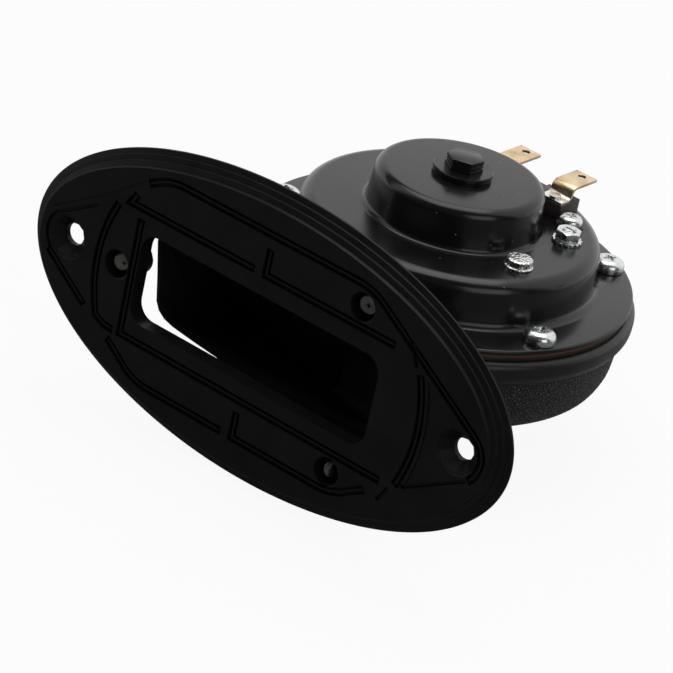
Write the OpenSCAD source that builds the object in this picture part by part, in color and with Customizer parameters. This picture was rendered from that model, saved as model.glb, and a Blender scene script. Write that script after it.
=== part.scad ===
// Compact electric boat horn with an oval flush-mount grille plate.
// Millimetres, +Z up. The plate's seating face is the plane Y = 0 and its front looks along -Y.
// The sounding unit stands upright behind the plate, on the axis X = 0, Y = driver_y.

/* [Plate] */
// Length of the oval plate at its seating edge
plate_l = 143.6; // [138:0.2:156]
// Height of the oval plate at its seating edge
plate_h = 74.8; // [72:0.2:84]
// Depth of the plate from its seating face to its front face
plate_t = 4.2; // [3.8:0.1:5]
// Distance between the two mounting holes
hole_gap = 118.4; // [114:0.2:122]
// Radius of the mounting holes
hole_r = 2.7; // [2:0.1:3]
// Radius of the countersink at the front of each mounting hole
sink_r = 5.3; // [4.5:0.1:5.5]
// Width of the sound opening
open_w = 71.9; // [60:0.1:72]
// Height of the sound opening
open_h = 23.2; // [18:0.2:23.4]
// Width of the moulded grooves
groove_w = 2.2; // [1.6:0.1:2.4]
// Depth of the moulded grooves
groove_d = 1.1; // [0.6:0.1:1.4]
// Width of the low rib along the middle of each groove
rib_w = 0.5; // [0.4:0.1:0.6]

/* [Trumpet] */
// Radius of the round trumpet body
body_r = 48.9; // [48.5:0.1:52]
// Height of the smooth upper body below its sealing face
body_h = 6.3; // [6:0.1:7]
// Height of the grained lower bowl
bowl_h = 16.3; // [16:0.1:17.5]
// Wall of the moulded shells
wall = 2; // [1.8:0.1:2.2]
// Distance from the plate's seating face to the trumpet mouth
mouth_y = 5.8; // [5:0.1:7]
// Distance from the plate's seating face to the upright driver axis
driver_y = 67.1; // [66.5:0.1:70]

/* [Cover] */
// Radius of the cover's flange
flange_r = 47.5; // [47.3:0.1:48]
// Radius of the cover's middle step
step_r = 37.2; // [37:0.1:37.4]
// Radius of the cover's dome at its foot
dome_r = 21.6; // [21.4:0.1:21.8]
// Thickness of the cover's sheet
sheet_t = 1.2; // [1:0.1:1.4]
// Number of flange screws
flange_n = 5; // [5:1:5]

/* [Working parts] */
// Travel of the armature and the diaphragm's centre
stroke = 0.6; // [0.3:0.1:0.6]
// Radius of the steel core
core_r = 7; // [6:0.1:7.2]
// Width of the spade terminals
tab_w = 6.3; // [6.3:0.1:6.4]

/* [Hidden] */
$fn = 96;
fine = 160;

black = [0.09, 0.09, 0.10];
gloss = [0.06, 0.06, 0.07];
zinc = [0.82, 0.83, 0.85];
yellow = [0.80, 0.66, 0.42];
brown = [0.42, 0.22, 0.12];
steel = [0.62, 0.63, 0.65];
copper = [0.72, 0.38, 0.20];
cream = [0.86, 0.80, 0.66];

// Levels along Z, from the body's sealing face upwards
seal_z = 0.8;
gasket_t = 0.6;
skin_t = 0.4;
skin_z = seal_z + gasket_t;
flange_z = skin_z + skin_t + gasket_t;
flange_top = flange_z + sheet_t;
step_z = 15.5;
dome_z = 26.2;
split_z = seal_z - body_h;
floor_z = split_z - bowl_h;
part_z = -3;

// Working parts inside the cover
pole_z = 11.6;
armature_top = pole_z - stroke - 0.15;
collar_r = 13;
collar_z = 6.3;
screw_ring_r = 42.8;
screw_first = -20;
washer_t = 1.8;

// Contact stack: its place on the step, and the way its arms run
step_mid_r = 29.2;
stack_a = 46;
adjust_a = 29.6;
adjust_r = 28.3;
stud_a = -18.2;
stud_r = 27.8;
stack_p = [step_mid_r * cos(stack_a), step_mid_r * sin(stack_a)];
adjust_p = [adjust_r * cos(adjust_a), adjust_r * sin(adjust_a)];
arm_a = -53;
arm_run = 16;
bend_x = 4.5;
moving_z = 10.1;
moving_t = 0.4;
fixed_z = 7.5;
fixed_t = 0.6;
button_r = 1.1;
button_p = [13.5, -22];
finger_w = 3;

// Plate screws, as places on the plate seen from the front
left_boss = [-43.5, 0];
right_boss = [26.4, 21.5];
bosses = [left_boss, right_boss, [right_boss[0], -right_boss[1]]];
boss_r = 4.2;
ear_y = 4.2;
pocket_r = 3.3;

// Terminals
tab_z = 22.2;
tab_t = 0.8;
near_x = 13;
far_x = -4.2;
far_drop = 0.8;
base_y = 21.8;
riser_y = 25.8;
tip_y = 36.1;
block_x = [-9, 16.5];
block_y = [21.7, 29.9];
block_top = 19.2;
rivet_y = 23.3;
rivet_r = 1;

function arc(c, r, a, b, n) = [for (i = [0:n]) c + r * [cos(a + (b - a) * i / n), sin(a + (b - a) * i / n)]];
function oval(a, b, n) = [for (i = [0:n - 1]) [a * cos(360 * i / n), b * sin(360 * i / n)]];

// Draws on the seating face as seen from the front: X right, Y up, Z towards the viewer
module on_plate() { rotate([90, 0, 0]) children(); }

// Moves a piece to the driver's upright axis
module at_driver() { translate([0, driver_y, 0]) children(); }

// A ring between two radii, standing on z
module ring(outer, inner, z, h, f = $fn) {
    translate([0, 0, z])
        difference() {
            cylinder(r = outer, h = h, $fn = f);
            translate([0, 0, -1]) cylinder(r = inner, h = h + 2, $fn = f);
        }
}

function way(p, q) = (q - p) / norm(q - p);

// The points w to the left of a chain of points, mitred at its corners
function beside(points, w) = [
    for (i = [0:len(points) - 1])
        let (last = len(points) - 1,
             before = i == 0 ? way(points[0], points[1]) : way(points[i - 1], points[i]),
             after = i == last ? before : way(points[i], points[i + 1]),
             mid = (before + after) / norm(before + after))
            points[i] + [-mid[1], mid[0]] * w / (mid * before)
];

// A flat stroke of even width along a chain of points
module stroke_line(points, w) {
    left = beside(points, w / 2);
    right = beside(points, -w / 2);
    polygon(concat(left, [for (i = [len(right) - 1:-1:0]) right[i]]));
}

module round_rect(w, h, r) {
    for (x = [-1, 1], y = [-1, 1])
        translate([x * (w / 2 - r), y * (h / 2 - r)]) circle(r = r, $fn = 48);
    square([w, h - 2 * r], center = true);
    square([w - 2 * r, h], center = true);
}

// Places copies on the flange's screw circle
module at_flange_screws() {
    for (i = [0:flange_n - 1])
        rotate(screw_first + i * 360 / flange_n) translate([screw_ring_r, 0, 0]) children();
}

// A domed pan head with a cross recess, its underside on z = 0
module pan_head(r, h) {
    difference() {
        rotate_extrude()
            polygon(concat([[0, 0], [r, 0], [r, h * 0.35]], arc([r - h * 0.65, h * 0.35], h * 0.65, 0, 90, 6), [[0, h * 1.06]]));
        for (a = [0, 90])
            rotate(a) translate([-r * 0.5, -r * 0.11, h * 0.5]) cube([r, r * 0.22, h]);
    }
}

// The three grooved fields on the plate's face, as chains of points
upper_field = concat([[-38.5, 23.5]], arc([-28.5, 12.2], 14.8, 118, 90, 3), arc([24, 11.9], 15.1, 90, 58, 4),
                     arc([hole_gap / 2, 0], sink_r + 1.45, 58, -50, 6));
left_end = concat(arc([-10, -1], 39.4, 156, 201, 7), [[-44, -16.3], [-41, -16.5]]);
right_end = arc([8.6, -1], 39.4, 21, -22, 7);
grooves = [
    upper_field,
    left_end,
    right_end,
    [[-64.3, -5.1], [-50.8, -14.3]],
    [[-38.75, 14], [-38.75, -16.3], [41, -16.5]],
    [[-41, 19.5], [-42.6, 16.8], [-4.6, 16.8]],
    [[-1.2, 23.3], [-1.2, 16.8], [37.2, 16.8]],
    concat([[-42.2, -19.2], [-37.5, -22.5]], arc([-28, -12], 14.2, 242, 270, 3), [[-4.6, -26.2]]),
    concat([[-1.2, -19.5], [-1.2, -26.2]], arc([24.5, -11.9], 14.3, 270, 310, 4), [[37.6, -20.5]]),
];
thin_lines = [[[63.2, -5.4], [47.4, -14.9]], arc([8.6, -1], 38.8, 33, 21, 3), arc([8.6, -1], 38.8, -22, -31, 3)];

// A moulded groove with a low rib along its middle
module groove(line) {
    n = len(line) - 1;
    rib = concat([line[0] + 0.5 * way(line[0], line[1])], [for (i = [1:n - 1]) line[i]],
                 [line[n] - 0.5 * way(line[n - 1], line[n])]);
    translate([0, 0, plate_t - groove_d])
        linear_extrude(groove_d + 1)
            difference() {
                stroke_line(line, groove_w);
                stroke_line(rib, rib_w);
            }
    translate([0, 0, plate_t - 0.25]) linear_extrude(1) stroke_line(rib, rib_w + 0.2);
}

module mounting_plate() {
    rim = [[0, 0], [1.35, 1.2], [2.7, 2.2], [4, 3.2]];
    color(black) on_plate()
        difference() {
            for (s = rim)
                linear_extrude(plate_t - s[1])
                    polygon(oval(plate_l / 2 - 4 + s[0], plate_h / 2 - 4 + s[0], fine));
            translate([-1.35, -0.1, -1]) linear_extrude(plate_t + 2) round_rect(open_w, open_h, 4.5);
            for (line = grooves)
                groove(line);
            for (line = thin_lines)
                translate([0, 0, plate_t - 0.5]) linear_extrude(1) stroke_line(line, 0.7);
            for (x = [-1, 1])
                translate([x * hole_gap / 2, 0, 0]) {
                    translate([0, 0, -1]) cylinder(r = hole_r, h = plate_t + 2);
                    translate([0, 0, plate_t - 3]) cylinder(r1 = hole_r, r2 = sink_r + 0.03, h = 3.03);
                }
            for (b = bosses)
                translate([b[0], b[1], -1]) {
                    cylinder(r = 2.1, h = plate_t + 2);
                    translate([0, 0, 1.8]) cylinder(r = pocket_r, h = plate_t + 1);
                }
        }
}

module plate_screws() {
    color(zinc) on_plate()
        for (b = bosses)
            translate([b[0], b[1], 0]) {
                translate([0, 0, 0.8]) pan_head(2.9, 1.7);
                translate([0, 0, 0.5 - ear_y]) cylinder(r = 1.75, h = ear_y + 0.5);
            }
}

// The passage at the mouth, seen from the front: its left side leans, and its lower side sags a little
mouth_line = [[0, 12.6], [-30, 12.2], [-36.5, 11], [-38.9, 8.2], [-38.7, 5], [-37.1, -3], [-35.9, -9],
              [-35.1, -10.6], [-33.6, -11.7], [-31, -12.3], [-24, -12.9], [-12, -13.6], [0, -14], [10, -14],
              [20, -13.5], [28, -12.6], [32.5, -11.3], [35.2, -8], [36.2, 0], [36, 6], [34.6, 10], [31.4, 12.1], [0, 12.6]];

// The trumpet's outer edge round that passage: the wall is thicker below, towards the right
mouth_rim = [[0, 14.1], [-31, 13.7], [-37.6, 12.2], [-40.3, 8.9], [-40.2, 5], [-38.6, -3], [-37.2, -9.6],
             [-36, -11.6], [-34, -13], [-31, -13.8], [-24, -14.6], [-11, -15.8], [-4, -16.4], [4, -16.8], [12, -16.9],
             [22, -16.4], [30, -15.2], [35, -12.8], [36.9, -8.6], [37.8, 0], [37.6, 6.4], [35.8, 11.4], [32, 13.7]];

// Sections of the flared duct further in: depth behind the seating face, middle, width, height, corner
sections = [[13, [-4, -6], 60, 18, 6], [19, [-11.5, -11], 43, 9.4, 3.5], [40, [-13, -12], 38, 9.6, 3.5]];

module mouth_slice(g) {
    on_plate() translate([0, 0, -mouth_y - 0.2])
        linear_extrude(0.2) polygon(g > 0 ? mouth_rim : mouth_line);
}

// A thin slice of the duct's passage, grown by g all round
module slice(s, g) {
    on_plate() translate([s[1][0], s[1][1], -s[0] - 0.2])
        linear_extrude(0.2) round_rect(s[2] + 2 * g, s[3] + 2 * g, s[4] + g);
}

// The duct's passage as a solid, grown by g all round
module duct(g) {
    hull() {
        mouth_slice(g);
        slice(sections[0], g);
    }
    for (i = [0, 1]) hull() {
        slice(sections[i], g);
        slice(sections[i + 1], g);
    }
}

module trumpet_body() {
    rim = 2;
    outer = concat([[body_r - 1.6, split_z], [body_r - 0.6, split_z + 1.2], [body_r, split_z + 2.8]],
                   arc([body_r - rim, seal_z - rim], rim, 0, 90, 6));
    color(black) {
        difference() {
            union() {
                at_driver() {
                    rotate_extrude($fn = fine) polygon(concat([[body_r - 4.6, split_z]], outer, [[body_r - 4.6, seal_z]]));
                    ring(body_r - 3, 9, part_z - wall, wall);
                    ring(body_r - 4, body_r - 10, seal_z - 2, 2);
                    at_flange_screws() translate([0, 0, part_z - 1]) cylinder(r = 4, h = seal_z - part_z + 1);
                }
                intersection() {
                    duct(wall);
                    difference() {
                        translate([-60, 0, -40]) cube([120, 60, 80]);
                        at_driver() translate([0, 0, -60]) cylinder(r = body_r - 5, h = 120, $fn = fine);
                    }
                }
                on_plate() {
                    for (b = bosses) translate([b[0], b[1], -ear_y]) cylinder(r = boss_r, h = ear_y - 0.3);
                    translate([left_boss[0] - 3, 0, -ear_y]) cube([5, 13.5, ear_y - 0.3]);
                    translate([left_boss[0] - 3, 9.3, -8.5]) cube([11, 4.2, 8.2]);
                    for (s = [0, 1])
                        mirror([0, s, 0]) {
                            translate([right_boss[0] - 2, 6, -13]) cube([4, 15, 5]);
                            translate([right_boss[0] - 2, 17.5, -13]) cube([4, 5, 12.7]);
                        }
                }
            }
            duct(0);
            at_driver() {
                at_flange_screws() translate([0, 0, part_z + 0.5]) cylinder(r = 1.85, h = 12);
                translate([0, 0, part_z]) cylinder(r = body_r - 10, h = 20, $fn = fine);
            }
            on_plate() for (b = bosses) translate([b[0], b[1], 0.2 - ear_y]) cylinder(r = 1.8, h = ear_y + 1);
        }
    }
}

// The spiral wall that leads the sound from the throat round to the duct
module scroll_wall() {
    turns = 40;
    turn = [for (i = [0:turns]) [9 + 26 * i / turns, 100 + 330 * i / turns]];
    side = [for (p = turn) p[0] * [cos(p[1]), sin(p[1])]];
    back = [for (i = [turns:-1:0]) (turn[i][0] + 1.6) * [cos(turn[i][1]), sin(turn[i][1])]];
    linear_extrude(part_z - 2 * wall - floor_z + 0.5) polygon(concat(side, back));
}

module trumpet_bowl() {
    outer = [[body_r - 2.2, split_z], [body_r - 2.4, split_z - 5], [body_r - 2.9, split_z - 8.8],
             [body_r - 4.4, split_z - 12.3], [body_r - 6.4, split_z - 14.4], [body_r - 8.9, split_z - 15.6],
             [body_r - 11.5, floor_z]];
    inner = [[0, floor_z + wall], [body_r - 11.8, floor_z + wall], [body_r - 9.6, split_z - 13.7],
             [body_r - 6.6, split_z - 11], [body_r - 5, split_z - 8], [body_r - 4.6, split_z - 5], [body_r - 4.4, split_z]];
    color(black) {
        difference() {
            at_driver() rotate_extrude($fn = fine) polygon(concat([[0, floor_z]], inner, outer));
            duct(wall + 0.05);
        }
        at_driver() translate([0, 0, floor_z + wall - 0.5]) scroll_wall();
    }
}

module lower_gasket() {
    color(brown) at_driver()
        difference() {
            ring(46.8, 39.5, seal_z, gasket_t, fine);
            at_flange_screws() translate([0, 0, -2]) cylinder(r = 2.2, h = 8);
        }
}

module upper_gasket() {
    color(brown) at_driver()
        difference() {
            ring(47, 39.5, skin_z + skin_t, gasket_t, fine);
            at_flange_screws() translate([0, 0, -2]) cylinder(r = 2.2, h = 8);
        }
}

module diaphragm() {
    color(steel) at_driver()
        difference() {
            ring(46.8, 3.1, skin_z, skin_t, fine);
            at_flange_screws() translate([0, 0, -2]) cylinder(r = 2.2, h = 8);
        }
}

module armature() {
    color(steel) at_driver() {
        translate([0, 0, -2.6]) cylinder(r = 3, h = 6);
        translate([0, 0, skin_z + skin_t]) cylinder(r = 9, h = armature_top - skin_z - skin_t);
        translate([0, 0, collar_z - 2.2]) cylinder(r = collar_r, h = 2.2);
    }
}

module armature_nut() {
    color(zinc) at_driver()
        difference() {
            translate([0, 0, -1.9]) cylinder(r = 5.4, h = skin_z + 1.9, $fn = 6);
            translate([0, 0, -4]) cylinder(r = 3.05, h = 8);
        }
}

// Half section of the pressed cover: its outer line, grown inwards by t
function cover_line(t) = concat(
    arc([step_r - t + 2.2, flange_top + 2.2 - t], 2.2, 270, 180, 5),
    arc([step_r - 3.4, step_z - 3.4], 3.4 - t, 0, 90, 7),
    arc([dome_r + 1.5, step_z + 1.5], 1.5 + t, 270, 180, 6),
    arc([dome_r - 3.2, dome_z - 2.6], 2.6 - t, 0, 90, 8));

module cover() {
    outside = cover_line(0);
    inside = cover_line(sheet_t);
    n = len(inside);
    color(gloss) at_driver()
        difference() {
            rotate_extrude($fn = fine)
                polygon(concat([[flange_r, flange_z], [flange_r, flange_top - 0.3], [flange_r - 0.3, flange_top]], outside,
                               [[2.7, dome_z], [2.7, dome_z - sheet_t]], [for (i = [n - 1:-1:1]) inside[i]],
                               [[step_r - sheet_t + 0.6, flange_z + 0.6], [step_r - sheet_t + 1.2, flange_z]]));
            at_flange_screws() translate([0, 0, flange_z - 2]) cylinder(r = 2.2, h = 8);
            translate([stack_p[0], stack_p[1], step_z - 4]) cylinder(r = 2.2, h = 8);
            translate([adjust_p[0], adjust_p[1], step_z - 4]) cylinder(r = 1.8, h = 8);
            rotate(stud_a) translate([stud_r, 0, step_z - 4]) cylinder(r = 1.65, h = 8);
            for (x = [near_x, far_x]) translate([x, rivet_y, step_z - 4]) cylinder(r = rivet_r + 0.05, h = 8);
        }
}

module flange_screws() {
    color(zinc) at_driver()
        at_flange_screws() {
            translate([0, 0, flange_top]) pan_head(4, 3);
            translate([0, 0, part_z + 1]) cylinder(r = 1.8, h = flange_top - part_z);
        }
}

module core() {
    color(steel) at_driver()
        difference() {
            translate([0, 0, pole_z]) cylinder(r = core_r, h = dome_z - sheet_t - pole_z);
            translate([0, 0, dome_z - sheet_t - 8.5]) cylinder(r = 2.55, h = 10);
        }
}

// The hex screw that holds the core under the dome
module core_screw() {
    color(gloss) at_driver() rotate(-6) {
        translate([0, 0, dome_z - sheet_t - 8]) cylinder(r = 2.5, h = sheet_t + 8 + washer_t);
        translate([0, 0, dome_z + washer_t]) cylinder(r = 4.8, h = 1, $fn = 6);
        translate([0, 0, dome_z + washer_t + 1]) cylinder(r = 4.65, h = 1.9, $fn = 6);
    }
}

module core_washer() {
    color(gloss) at_driver() {
        ring(7.1, 2.6, dome_z, 0.7);
        ring(7.4, 2.6, dome_z + 0.7, washer_t - 0.7);
    }
}

module coil_bobbin() {
    color(cream) at_driver() {
        ring(18.6, core_r + 0.05, 12, 1);
        ring(18.6, core_r + 0.05, 23.2, 1);
        ring(core_r + 1, core_r + 0.05, 12.5, 11);
    }
}

module coil_winding() {
    color(copper) at_driver() ring(17.6, core_r + 1.05, 13, 10.2);
}

// Runs from the contact stack towards the contacts: X along the arms
module at_stack() {
    at_driver() translate([stack_p[0], stack_p[1], 0]) rotate(arm_a) children();
}

module arm_blank(z, t, run) {
    translate([0, 0, z]) {
        cylinder(r = 4, h = t);
        translate([0, -4, 0]) cube([run, 8, t]);
    }
}

module fixed_contact_arm() {
    color(yellow) at_stack()
        difference() {
            arm_blank(fixed_z, fixed_t, arm_run);
            cylinder(r = 2.2, h = 20);
        }
}

// The clamped end of the spring leaf, up to the line where it bends
module arm_root() {
    color(yellow) at_stack()
        difference() {
            arm_blank(moving_z, moving_t, bend_x - moving_t / 2 - 0.05);
            cylinder(r = 2.2, h = 20);
        }
}

// The free end of the spring leaf: it carries the moving contact, and a side finger reaches over the armature's collar
module moving_contact_arm() {
    color(yellow) at_stack() {
        difference() {
            union() {
                translate([bend_x, -4, moving_z]) cube([arm_run - bend_x, 8, moving_t]);
                translate([bend_x, 4, moving_z + moving_t / 2]) rotate([90, 0, 0]) cylinder(r = moving_t / 2, h = 8);
            }
            rotate(-arm_a) translate([adjust_p[0] - stack_p[0], adjust_p[1] - stack_p[1], 0]) cylinder(r = 2.2, h = 20);
        }
        translate([button_p[0] - finger_w / 2, button_p[1] - finger_w / 2, moving_z])
            cube([finger_w, finger_w - button_p[1], moving_t]);
    }
}

module fixed_contact() {
    color(steel) at_stack() translate([arm_run - 3, 0, fixed_z + fixed_t]) cylinder(r = 1.5, h = 0.9);
}

module moving_contact() {
    color(steel) at_stack() translate([arm_run - 3, 0, fixed_z + fixed_t + 1]) cylinder(r = 1.5, h = 1);
}

// The button that the armature's collar lifts
module arm_button() {
    color(brown) at_stack()
        translate([button_p[0], button_p[1], collar_z + 0.1]) cylinder(r = button_r, h = moving_z - collar_z - 0.1);
}

module stack_insulators() {
    color(brown) at_stack() {
        ring(4.2, 2.2, moving_z + moving_t, step_z - sheet_t - moving_z - moving_t);
        ring(4.2, 2.2, fixed_z + fixed_t, moving_z - fixed_z - fixed_t);
        ring(4.2, 2.2, fixed_z - 1.2, 1.2);
        ring(3.4, 2.2, step_z, 1);
    }
}

module stack_nut_plate() {
    color(zinc) at_stack() ring(4.2, 1.56, fixed_z - 3.2, 2);
}

module stack_screw() {
    color(zinc) at_stack() {
        translate([0, 0, step_z + 1]) pan_head(3, 2.2);
        translate([0, 0, fixed_z - 3.2]) cylinder(r = 1.5, h = step_z - fixed_z + 4.4);
    }
}

module at_adjuster() {
    at_driver() translate([adjust_p[0], adjust_p[1], 0]) children();
}

module adjusting_screw() {
    color(zinc) at_adjuster()
        difference() {
            translate([0, 0, fixed_z + fixed_t + 0.1]) cylinder(r = 1.5, h = 10.7);
            translate([-3, -0.35, fixed_z + fixed_t + 9.9]) cube([6, 0.7, 3]);
        }
}

module adjuster_bush() {
    color(zinc) at_adjuster() ring(3.6, 1.56, step_z - sheet_t - 2, 2);
}

module lock_washer() {
    color(zinc) at_adjuster() ring(3.9, 1.8, step_z, 0.7);
}

module lock_nut() {
    color(zinc) at_adjuster() rotate(25.6)
        difference() {
            translate([0, 0, step_z + 0.7]) cylinder(r = 3.3, h = 2.4, $fn = 6);
            translate([0, 0, step_z - 1]) cylinder(r = 1.56, h = 8);
        }
}

module knurled_stud() {
    teeth = 28;
    color(zinc) at_driver() rotate(stud_a) translate([stud_r, 0, 0]) {
        translate([0, 0, step_z]) cylinder(r = 3.6, h = 0.6);
        translate([0, 0, step_z + 0.6])
            linear_extrude(2.1)
                polygon([for (i = [0:2 * teeth - 1]) (i % 2 == 0 ? 3.5 : 3.1) * [cos(180 * i / teeth), sin(180 * i / teeth)]]);
        translate([0, 0, step_z - sheet_t - 1.2]) cylinder(r = 1.6, h = 3);
        translate([0, 0, step_z - sheet_t - 1.6]) cylinder(r = 2.6, h = 1.6);
    }
}

module terminal_block() {
    color(black) at_driver()
        difference() {
            translate([block_x[0], block_y[0], step_z])
                cube([block_x[1] - block_x[0], block_y[1] - block_y[0], block_top - step_z]);
            translate([0, 0, step_z - 1]) cylinder(r = 23.4, h = 2.8, $fn = fine);
            translate([0, 0, step_z - 1]) cylinder(r = 22.2, h = 8, $fn = fine);
            for (x = [near_x, far_x]) translate([x, rivet_y, step_z - 1]) cylinder(r = rivet_r + 0.05, h = 8);
        }
}

// A spade blade that steps up from its riveted base to its level z
module terminal(x, z) {
    color(yellow) at_driver() translate([x, 0, 0])
        difference() {
            union() {
                translate([-tab_w / 2, base_y, block_top]) cube([tab_w, riser_y + tab_t - base_y, tab_t]);
                translate([-tab_w / 2, riser_y, block_top]) cube([tab_w, tab_t, z + tab_t - block_top]);
                translate([-tab_w / 2, riser_y, z]) cube([tab_w, tip_y - riser_y, tab_t]);
            }
            translate([0, rivet_y, 0]) cylinder(r = rivet_r + 0.05, h = 20.5);
            translate([0, 33.9, 10]) cylinder(r = 1.05, h = 20);
        }
}

module near_terminal() { terminal(near_x, tab_z); }
module far_terminal() { terminal(far_x, tab_z - far_drop); }

module terminal_rivets() {
    color(zinc) at_driver()
        for (x = [near_x, far_x]) translate([x, rivet_y, 0]) {
            translate([0, 0, step_z - sheet_t - 0.8]) cylinder(r = rivet_r, h = block_top + tab_t - step_z + sheet_t + 1);
            translate([0, 0, block_top + tab_t]) cylinder(r = 1.5, h = 0.6);
            translate([0, 0, step_z - sheet_t - 0.8]) cylinder(r = 2, h = 0.8);
        }
}

mounting_plate();
plate_screws();
trumpet_body();
trumpet_bowl();
lower_gasket();
diaphragm();
upper_gasket();
armature();
armature_nut();
cover();
flange_screws();
core();
core_screw();
core_washer();
coil_bobbin();
coil_winding();
fixed_contact_arm();
arm_root();
moving_contact_arm();
fixed_contact();
moving_contact();
arm_button();
stack_insulators();
stack_nut_plate();
stack_screw();
adjusting_screw();
adjuster_bush();
lock_nut();
lock_washer();
knurled_stud();
terminal_block();
near_terminal();
far_terminal();
terminal_rivets();
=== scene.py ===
import math

import bpy
import bmesh
from mathutils import Matrix, Vector


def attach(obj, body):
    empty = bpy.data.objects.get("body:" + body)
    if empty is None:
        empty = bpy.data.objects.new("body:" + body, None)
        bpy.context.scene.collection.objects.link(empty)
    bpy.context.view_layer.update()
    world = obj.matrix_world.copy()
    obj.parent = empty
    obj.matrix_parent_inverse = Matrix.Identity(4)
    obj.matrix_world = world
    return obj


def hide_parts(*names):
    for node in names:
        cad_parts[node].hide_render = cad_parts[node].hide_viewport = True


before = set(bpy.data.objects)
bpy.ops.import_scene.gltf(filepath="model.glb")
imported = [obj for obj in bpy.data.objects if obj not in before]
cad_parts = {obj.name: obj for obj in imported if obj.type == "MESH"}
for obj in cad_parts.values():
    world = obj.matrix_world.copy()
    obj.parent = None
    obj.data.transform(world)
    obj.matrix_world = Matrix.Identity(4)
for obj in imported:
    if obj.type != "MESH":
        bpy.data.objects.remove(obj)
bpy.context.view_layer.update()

mm = 0.001
weldGap = 2e-6  # metres
sounder = {"x": 0.0, "y": 67.1}  # the upright axis of the sounder, mm behind the plate's seat


# How pieces are selected, finished, attached to their bodies and put in place of the imported parts

def deselect():
    if bpy.context.object and bpy.context.object.mode != "OBJECT":
        bpy.ops.object.mode_set(mode="OBJECT")
    bpy.ops.object.select_all(action="DESELECT")


def useOnly(piece):
    deselect()
    piece.select_set(True)
    bpy.context.view_layer.objects.active = piece


def editAll():
    bpy.ops.object.mode_set(mode="EDIT")
    bpy.ops.mesh.select_mode(type="VERT")
    bpy.ops.mesh.select_all(action="SELECT")


def backToObject():
    bpy.ops.object.mode_set(mode="OBJECT")


def settle(piece):
    useOnly(piece)
    bpy.ops.object.transform_apply(location=True, rotation=True, scale=True)


# Turns all faces outwards and leaves edit mode
def closeShape(piece):
    bpy.ops.mesh.select_all(action="SELECT")
    bpy.ops.mesh.normals_make_consistent(inside=False)
    backToObject()
    settle(piece)


# Extrudes what is selected by a step in metres
def pull(step):
    bpy.ops.mesh.extrude_region_move(TRANSFORM_OT_translate={"value": step})


def scaleBy(across, along, middle=(0, 0, 0)):
    bpy.ops.transform.resize(value=(across, along, 1), center_override=middle)


# Selects in edit mode the faces, edges or vertices whose middle passes the test
def pick(piece, test, kind="FACE"):
    bpy.ops.mesh.select_mode(type=kind)
    bpy.ops.mesh.select_all(action="DESELECT")
    shape = bmesh.from_edit_mesh(piece.data)
    for item in {"FACE": shape.faces, "EDGE": shape.edges, "VERT": shape.verts}[kind]:
        if kind == "FACE":
            place = item.calc_center_median()
        elif kind == "EDGE":
            place = (item.verts[0].co + item.verts[1].co) / 2
        else:
            place = item.co
        if test(place, item):
            item.select_set(True)
    shape.select_flush_mode()
    bmesh.update_edit_mesh(piece.data)


def addModifier(piece, kind, **values):
    useOnly(piece)
    bpy.ops.object.modifier_add(type=kind)
    modifier = piece.modifiers[-1]
    for name, value in values.items():
        setattr(modifier, name, value)
    bpy.ops.object.modifier_apply(modifier=modifier.name)


def cut(piece, cutter, how="DIFFERENCE"):
    addModifier(piece, "BOOLEAN", operation=how, solver="EXACT", object=cutter)
    bpy.data.objects.remove(cutter)


def softenEdges(piece, width, angle, segments=2):
    addModifier(piece, "BEVEL", width=width * mm, segments=segments, limit_method="ANGLE",
                angle_limit=math.radians(angle), use_clamp_overlap=True, miter_outer="MITER_ARC")


def joinPieces(pieces, name):
    deselect()
    for piece in pieces:
        piece.select_set(True)
    bpy.context.view_layer.objects.active = pieces[0]
    if len(pieces) > 1:
        bpy.ops.object.join()
    pieces[0].name = name
    return pieces[0]


# A copy with its own mesh, turned about its own upright axis and set down at a place in mm
def copyTo(piece, place, turn=0.0, tilt=0.0):
    twin = piece.copy()
    twin.data = piece.data.copy()
    bpy.context.scene.collection.objects.link(twin)
    twin.location = Vector(place) * mm
    twin.rotation_euler = (math.radians(tilt), 0, math.radians(turn))
    settle(twin)
    return twin


def moveTo(piece, place, turn=0.0):
    placed = copyTo(piece, place, turn)
    bpy.data.objects.remove(piece)
    return placed


# A place given from the sounder's axis, as a place behind the plate
def onSounder(place, level=0):
    return place[0], sounder["y"] + place[1], level


def dress(piece, name, material, body, replaced, angle):
    settle(piece)
    bpy.ops.object.shade_smooth_by_angle(angle=math.radians(angle))
    piece.name = name
    piece.data.name = name
    piece.data.materials.clear()
    piece.data.materials.append(material)
    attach(piece, body)
    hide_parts(replaced)
    print("made", name, len(piece.data.polygons), "faces")


def polar(r, angle):
    return r * math.cos(math.radians(angle)), r * math.sin(math.radians(angle))


# Points of an arc in a half section or on the plate's face, mm
def arcPoints(cx, cz, r, start, end, steps):
    turns = [math.radians(start + (end - start) * i / steps) for i in range(steps + 1)]
    return [(cx + r * math.cos(a), cz + r * math.sin(a)) for a in turns]


# A single vertex in edit mode, from which a chain is pulled
def startPoint(x, y, z):
    deselect()
    bpy.ops.mesh.primitive_plane_add(size=mm, location=(x * mm, y * mm, z * mm))
    piece = bpy.context.object
    editAll()
    bpy.ops.mesh.merge(type="CENTER")
    return piece


# A half section of (radius, height) in mm, extruded point by point and spun about an upright axis
def turnedPiece(profile, x=sounder["x"], y=sounder["y"], steps=128):
    piece = startPoint(x + profile[0][0], y, profile[0][1])
    for (r, z), (nextR, nextZ) in zip(profile, profile[1:]):
        pull(((nextR - r) * mm, 0, (nextZ - z) * mm))
    bpy.ops.mesh.select_all(action="SELECT")
    bpy.ops.mesh.spin(steps=steps, angle=2 * math.pi, center=(x * mm, y * mm, 0), axis=(0, 0, 1))
    bpy.ops.mesh.select_all(action="SELECT")
    bpy.ops.mesh.remove_doubles(threshold=weldGap)
    closeShape(piece)
    return piece


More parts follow.
